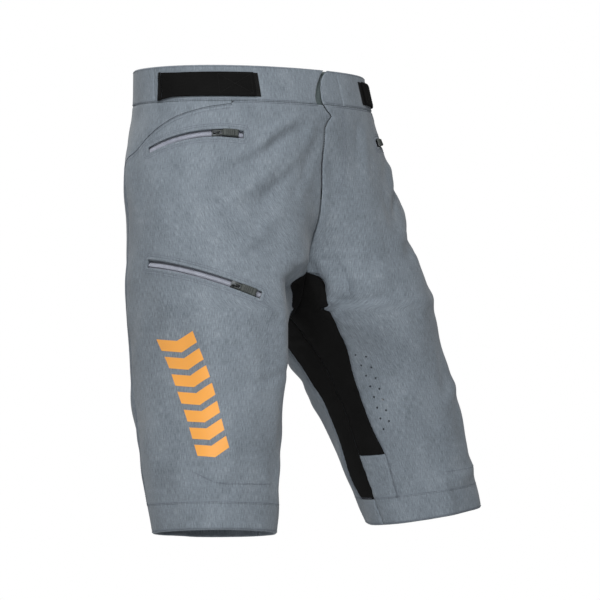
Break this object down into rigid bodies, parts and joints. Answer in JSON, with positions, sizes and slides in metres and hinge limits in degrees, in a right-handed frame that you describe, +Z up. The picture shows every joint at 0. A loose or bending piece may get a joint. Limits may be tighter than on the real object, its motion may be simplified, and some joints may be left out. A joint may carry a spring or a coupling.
{
  "type": "outdoor shell shorts",
  "caption": "Knee-length outdoor shell shorts with zipped hip and thigh pockets, snap-closed fly, stretch inner panels and hook-and-loop waist adjusters.",
  "frame": {"origin": "centre of the waist opening, on the waistband's top edge", "axes": "+Z up, the wearer faces -Y, the wearer's left is +X"},
  "size_m": [0.478, 0.3003, 0.5433],
  "materials": {
    "shell_cloth": "heathered blue-grey woven stretch, matt",
    "stretch": "black warp-knit stretch",
    "dark_shell": "dark grey-green woven",
    "lining": "smooth woven lining",
    "pocketing": "fine mesh pocketing",
    "loop": "brushed loop",
    "hook": "moulded hooks",
    "webbing": "woven strap, matt",
    "zip_tape": "woven tape",
    "zip_coil": "coil teeth",
    "zip_metal": "dark painted zinc",
    "pull_rubber": "moulded soft pull",
    "snap_metal": "oxidised steel",
    "silicone": "printed silicone",
    "label": "satin ribbon, blank"
  },
  "bodies": {
    "shell": {"front_panel_right": "shell_cloth", "back_panel_right": "shell_cloth", "back_yoke_right": "shell_cloth", "inner_front_stretch_right": "stretch", "inner_back_stretch_right": "stretch", "inner_knee_panel_right": "shell_cloth", "hem_band_right": "shell_cloth", "front_panel_left": "shell_cloth", "back_panel_left": "shell_cloth", "back_yoke_left": "shell_cloth", "inner_front_stretch_left": "stretch", "inner_back_stretch_left": "stretch", "inner_knee_panel_left": "shell_cloth", "hem_band_left": "shell_cloth", "waistband_front_right": "shell_cloth", "waistband_front_left": "shell_cloth", "waistband_back_right": "shell_cloth", "waistband_back_left": "shell_cloth", "waist_lining_right": "lining", "waist_gripper_right": "silicone", "waist_lining_left": "lining", "waist_gripper_left": "silicone", "care_label": "label", "loop_patch_right": "loop", "adjuster_anchor_right": "webbing", "loop_patch_left": "loop", "adjuster_anchor_left": "webbing", "fly_facing": "lining", "fly_zip_tape": "zip_tape", "fly_zip_coil": "zip_coil", "fly_shield": "dark_shell", "front_underlap": "dark_shell", "snap_stud_upper": "snap_metal", "snap_stud_lower": "snap_metal", "hip_zip_right_tape": "zip_tape", "hip_zip_right_coil": "zip_coil", "hip_pocket_bag_right": "pocketing", "hip_zip_left_tape": "zip_tape", "hip_zip_left_coil": "zip_coil", "hip_pocket_bag_left": "pocketing", "thigh_zip_tape": "zip_tape", "thigh_zip_coil": "zip_coil", "thigh_pocket_bag": "pocketing"},
    "hip_zip_right_slider": {"hip_zip_right_slider": "zip_metal"},
    "hip_zip_right_pull": {"hip_zip_right_pull": "pull_rubber"},
    "hip_zip_left_slider": {"hip_zip_left_slider": "zip_metal"},
    "hip_zip_left_pull": {"hip_zip_left_pull": "pull_rubber"},
    "thigh_zip_slider": {"thigh_zip_slider": "zip_metal"},
    "thigh_zip_pull": {"thigh_zip_pull": "pull_rubber"},
    "fly_zip_slider": {"fly_zip_slider": "zip_metal"},
    "fly_zip_pull": {"fly_zip_pull": "pull_rubber"},
    "tab": {"front_tab": "shell_cloth", "snap_socket_upper": "snap_metal", "snap_socket_lower": "snap_metal"},
    "adjuster_right": {"adjuster_strap_right": "webbing", "hook_patch_right": "hook"},
    "adjuster_left": {"adjuster_strap_left": "webbing", "hook_patch_left": "hook"}
  },
  "joints": [
    {"name": "hip_zip_right_travel", "type": "hinge", "parent": "shell", "child": "hip_zip_right_slider", "pos_m": [-0.07742, -0.00522, -0.14911], "axis": [-0.382, -0.4823, -0.7883], "range_deg": [0, 39.1]},
    {"name": "hip_zip_right_pull_swing", "type": "hinge", "parent": "hip_zip_right_slider", "child": "hip_zip_right_pull", "pos_m": [-0.13693, -0.07433, -0.07964], "axis": [-0.2212, -0.2941, -0.9298], "range_deg": [0, 150]},
    {"name": "hip_zip_left_travel", "type": "hinge", "parent": "shell", "child": "hip_zip_left_slider", "pos_m": [0.07742, -0.00522, -0.14911], "axis": [-0.382, 0.4823, 0.7883], "range_deg": [0, 39.1]},
    {"name": "hip_zip_left_pull_swing", "type": "hinge", "parent": "hip_zip_left_slider", "child": "hip_zip_left_pull", "pos_m": [0.13693, -0.07433, -0.07964], "axis": [-0.2212, 0.2941, 0.9298], "range_deg": [0, 150]},
    {"name": "thigh_zip_travel", "type": "hinge", "parent": "shell", "child": "thigh_zip_slider", "pos_m": [-0.07938, -0.03209, -0.27856], "axis": [-0.3791, 0.0799, -0.9219], "range_deg": [0, 49.8]},
    {"name": "thigh_zip_pull_swing", "type": "hinge", "parent": "thigh_zip_slider", "child": "thigh_zip_pull", "pos_m": [-0.15985, -0.13014, -0.25417], "axis": [-0.3534, 0.1108, -0.9289], "range_deg": [0, 150]},
    {"name": "fly_zip_travel", "type": "slide", "parent": "shell", "child": "fly_zip_slider", "axis": [0, 0, -1], "range_m": [0, 0.074]},
    {"name": "fly_zip_pull_swing", "type": "hinge", "parent": "fly_zip_slider", "child": "fly_zip_pull", "pos_m": [0.012, -0.10243, -0.059], "axis": [-1, 0, 0], "range_deg": [0, 8]},
    {"name": "front_tab_fold", "type": "hinge", "parent": "shell", "child": "tab", "pos_m": [0.03819, -0.10147, -0.021], "axis": [-0.0221, 0.2718, 0.9621], "range_deg": [0, 100]},
    {"name": "adjuster_right_peel", "type": "hinge", "parent": "shell", "child": "adjuster_right", "pos_m": [-0.16174, -0.0064, -0.023], "axis": [-0.0864, -0.1578, -0.9837], "range_deg": [0, 120]},
    {"name": "adjuster_left_peel", "type": "hinge", "parent": "shell", "child": "adjuster_left", "pos_m": [0.16174, -0.0064, -0.023], "axis": [-0.0864, 0.1578, 0.9837], "range_deg": [0, 120]}
  ]
}
